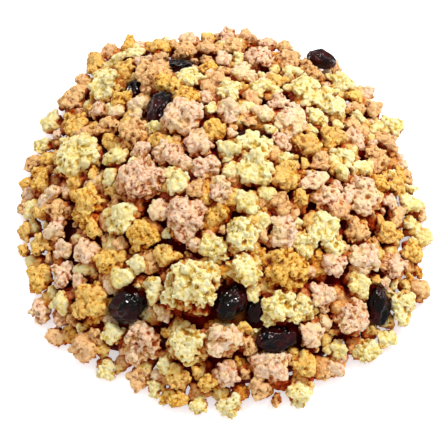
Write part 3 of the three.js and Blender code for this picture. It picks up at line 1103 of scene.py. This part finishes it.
class GRANOLA_OT_clusters(bpy.types.Operator):
    """Makes the oat clusters: a piece of large, of small and of lower ones for each tone"""

    bl_idname = "granola.clusters"
    bl_label = "Oat clusters"

    BLUSHES = {
        "pale": "lemon", "pink": "pale_body", "golden": "toasted_body", "toasted": "pink_body",
    }

    def execute(self, context):
        tones = context.scene.granola_tones
        places, lower = cluster_places()
        noise.seed_set(WARP_SEED)
        fine, coarse = Workbench(VOXEL), Workbench(LOWER_VOXEL)
        for tone in NAMED_CLUSTERS:
            finish = oat_finish(
                f"Oats, {tone}",
                *(getattr(tones, f"{tone}_{part}") for part in ("crease", "body", "crown")),
                getattr(tones, self.BLUSHES[tone]),
                gap_shades(tones),
            )
            numbered = [(s, p) for s, p in enumerate(places, start=1) if p.tone == tone]
            large = [(s, p) for s, p in numbered if p.size >= LARGE_FROM]
            small = [(s, p) for s, p in numbered if p.size < LARGE_FROM]
            under = [(s, p) for s, p in enumerate(lower, start=LOWER_SEED) if p.tone == tone]
            self.make_piece(f"large_clusters_{tone}", large, fine, finish)
            self.make_piece(f"small_clusters_{tone}", small, fine, finish)
            self.make_piece(f"lower_clusters_{tone}", under, coarse, finish)
        fine.clear_away()
        coarse.clear_away()
        return {"FINISHED"}

    def make_piece(self, name, numbered, bench, finish):
        gathered, marks = bmesh.new(), Marks()
        sockets = cherry_sockets()
        for seed, place in numbered:
            make_cluster(place, seed, bench, gathered, marks, sockets)
        piece = add_piece(name, gathered, finish)
        marks.write(piece.data)
        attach(piece, "root")
        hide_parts("granola_heap")


def marks_of(piece):
    return piece.data.attributes if piece.type == "MESH" else ()


class GRANOLA_OT_core(bpy.types.Operator):
    """Makes the inside of the heap, darkened by painted shade, which shows in the gaps"""

    bl_idname = "granola.core"
    bl_label = "Inside of the heap"

    def execute(self, context):
        tones = context.scene.granola_tones
        bm, marks = bmesh.new(), Marks()
        make_core(bm, marks)
        piece = add_piece("heap_inside", bm, core_finish(tones.toasted_body, gap_shades(tones)))
        marks.write(piece.data)
        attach(piece, "root")
        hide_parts("granola_heap")
        return {"FINISHED"}


class GRANOLA_OT_cherries(bpy.types.Operator):
    """Makes the dried cherries, each a piece of its own"""

    bl_idname = "granola.cherries"
    bl_label = "Dried cherries"

    def execute(self, context):
        look = context.scene.granola_cherries
        finish = cherry_finish(look.skin, look.flesh, look.gloss)
        for index, cherry in enumerate(CHERRIES):
            bm = make_cherry(cherry, CHERRY_SEED + index)
            piece = add_piece(f"dried_cherry_{index + 1}", bm, finish)
            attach(piece, "root")
            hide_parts(f"cherry_{index + 1}")
        return {"FINISHED"}


class GRANOLA_OT_shade(bpy.types.Operator):
    """Marks how deep in the gaps each point of the oats lies, once all pieces are made"""

    bl_idname = "granola.shade"
    bl_label = "Shade in the gaps"

    def execute(self, context):
        meshes = [piece.data for piece in context.scene.objects if "relief" in marks_of(piece)]
        write_shade(meshes, HEAP_RADIUS + FILL_SIZES[0])
        return {"FINISHED"}


class GRANOLA_OT_stage(bpy.types.Operator):
    """Makes the white table, the lights and the camera"""

    bl_idname = "granola.stage"
    bl_label = "Stage"

    def execute(self, context):
        settings = context.scene.granola_stage
        self.make_table(settings)
        self.make_lights(context, settings)
        self.make_camera(context)
        context.scene.view_settings.view_transform = "Standard"
        return {"FINISHED"}

    def make_table(self, settings):
        bm = bmesh.new()
        bmesh.ops.create_grid(bm, size=settings.table_size / 2 / MM)
        bmesh.ops.translate(bm, verts=bm.verts, vec=(0, 0, -TABLE_DROP))
        material = bpy.data.materials.new("White table")
        graph = Graph(material)
        graph.finish(
            Base_Color=TABLE_COLOUR,
            Emission_Color=(1, 1, 1, 1),
            Emission_Strength=TABLE_GLOW,
            Roughness=graph.cloud(3) * 0.05 + 0.6,
        )
        add_piece("table", bm, material)

    def make_lights(self, context, settings):
        self.make_lamp(context, "Key light", KEY_PLACE, KEY_WIDTH, settings.key_power)
        glints = self.make_lamp(
            context, "Glint light", GLINT_PLACE, GLINT_WIDTH, settings.glint_power
        )
        glints.visible_diffuse = False  # it is seen in the gloss alone
        world = bpy.data.worlds.new("White room")
        context.scene.world = world
        world.use_nodes = True
        sky = world.node_tree.nodes["Background"]
        sky.inputs["Color"].default_value = (1, 1, 1, 1)
        sky.inputs["Strength"].default_value = settings.fill_strength

    def make_lamp(self, context, name, place, width, power):
        light = bpy.data.lights.new(name, "AREA")
        light.shape = "DISK"
        light.size = width
        light.energy = power
        light.color = LAMP_COLOUR
        lamp = bpy.data.objects.new(name, light)
        lamp.location = place
        lamp.rotation_euler = (-lamp.location).to_track_quat("-Z", "Y").to_euler()
        context.scene.collection.objects.link(lamp)
        return lamp

    def make_camera(self, context):
        data = bpy.data.cameras.new("Camera")
        data.sensor_width = SENSOR_WIDTH
        data.lens = SENSOR_WIDTH * VIEW_DISTANCE / FRAME_WIDTH
        camera = bpy.data.objects.new("Camera", data)
        back = Vector((0, -math.cos(VIEW_ELEVATION), math.sin(VIEW_ELEVATION)))
        above = Vector((0, math.sin(VIEW_ELEVATION), math.cos(VIEW_ELEVATION)))
        aim = Vector((AIM_RIGHT, VIEW_AIM_Y, 0)) + AIM_ABOVE * above
        camera.location = (aim + VIEW_DISTANCE * back) * MM
        camera.rotation_euler = (-back).to_track_quat("-Z", "Y").to_euler()
        data.clip_start, data.clip_end = 0.01, 10
        context.scene.collection.objects.link(camera)
        context.scene.camera = camera


class GRANOLA_PT_panel(bpy.types.Panel):
    """Lists the pieces of the heap and their settings"""

    bl_idname = "GRANOLA_PT_panel"
    bl_label = "Heap of granola"
    bl_space_type = "VIEW_3D"
    bl_region_type = "UI"
    bl_category = "Granola"

    def draw(self, context):
        for group in (
            context.scene.granola_tones,
            context.scene.granola_cherries,
            context.scene.granola_stage,
        ):
            box = self.layout.box()
            for name in group.bl_rna.properties.keys():
                if name not in ("rna_type", "name"):
                    box.prop(group, name)
        for operator in OPERATORS:
            self.layout.operator(operator.bl_idname)


SETTINGS = {
    "granola_tones": GranolaToneSettings,
    "granola_cherries": GranolaCherrySettings,
    "granola_stage": GranolaStageSettings,
}
OPERATORS = (
    GRANOLA_OT_core, GRANOLA_OT_clusters, GRANOLA_OT_cherries, GRANOLA_OT_shade, GRANOLA_OT_stage,
)
CLASSES = (*SETTINGS.values(), *OPERATORS, GRANOLA_PT_panel)


def register():
    for made in CLASSES:
        bpy.utils.register_class(made)
    for name, settings in SETTINGS.items():
        setattr(bpy.types.Scene, name, bpy.props.PointerProperty(type=settings))


def unregister():
    for name in SETTINGS:
        delattr(bpy.types.Scene, name)
    for made in reversed(CLASSES):
        bpy.utils.unregister_class(made)


def main():
    register()
    bpy.ops.granola.core()
    bpy.ops.granola.clusters()
    bpy.ops.granola.cherries()
    bpy.ops.granola.shade()
    bpy.ops.granola.stage()


if __name__ == "__main__":
    main()
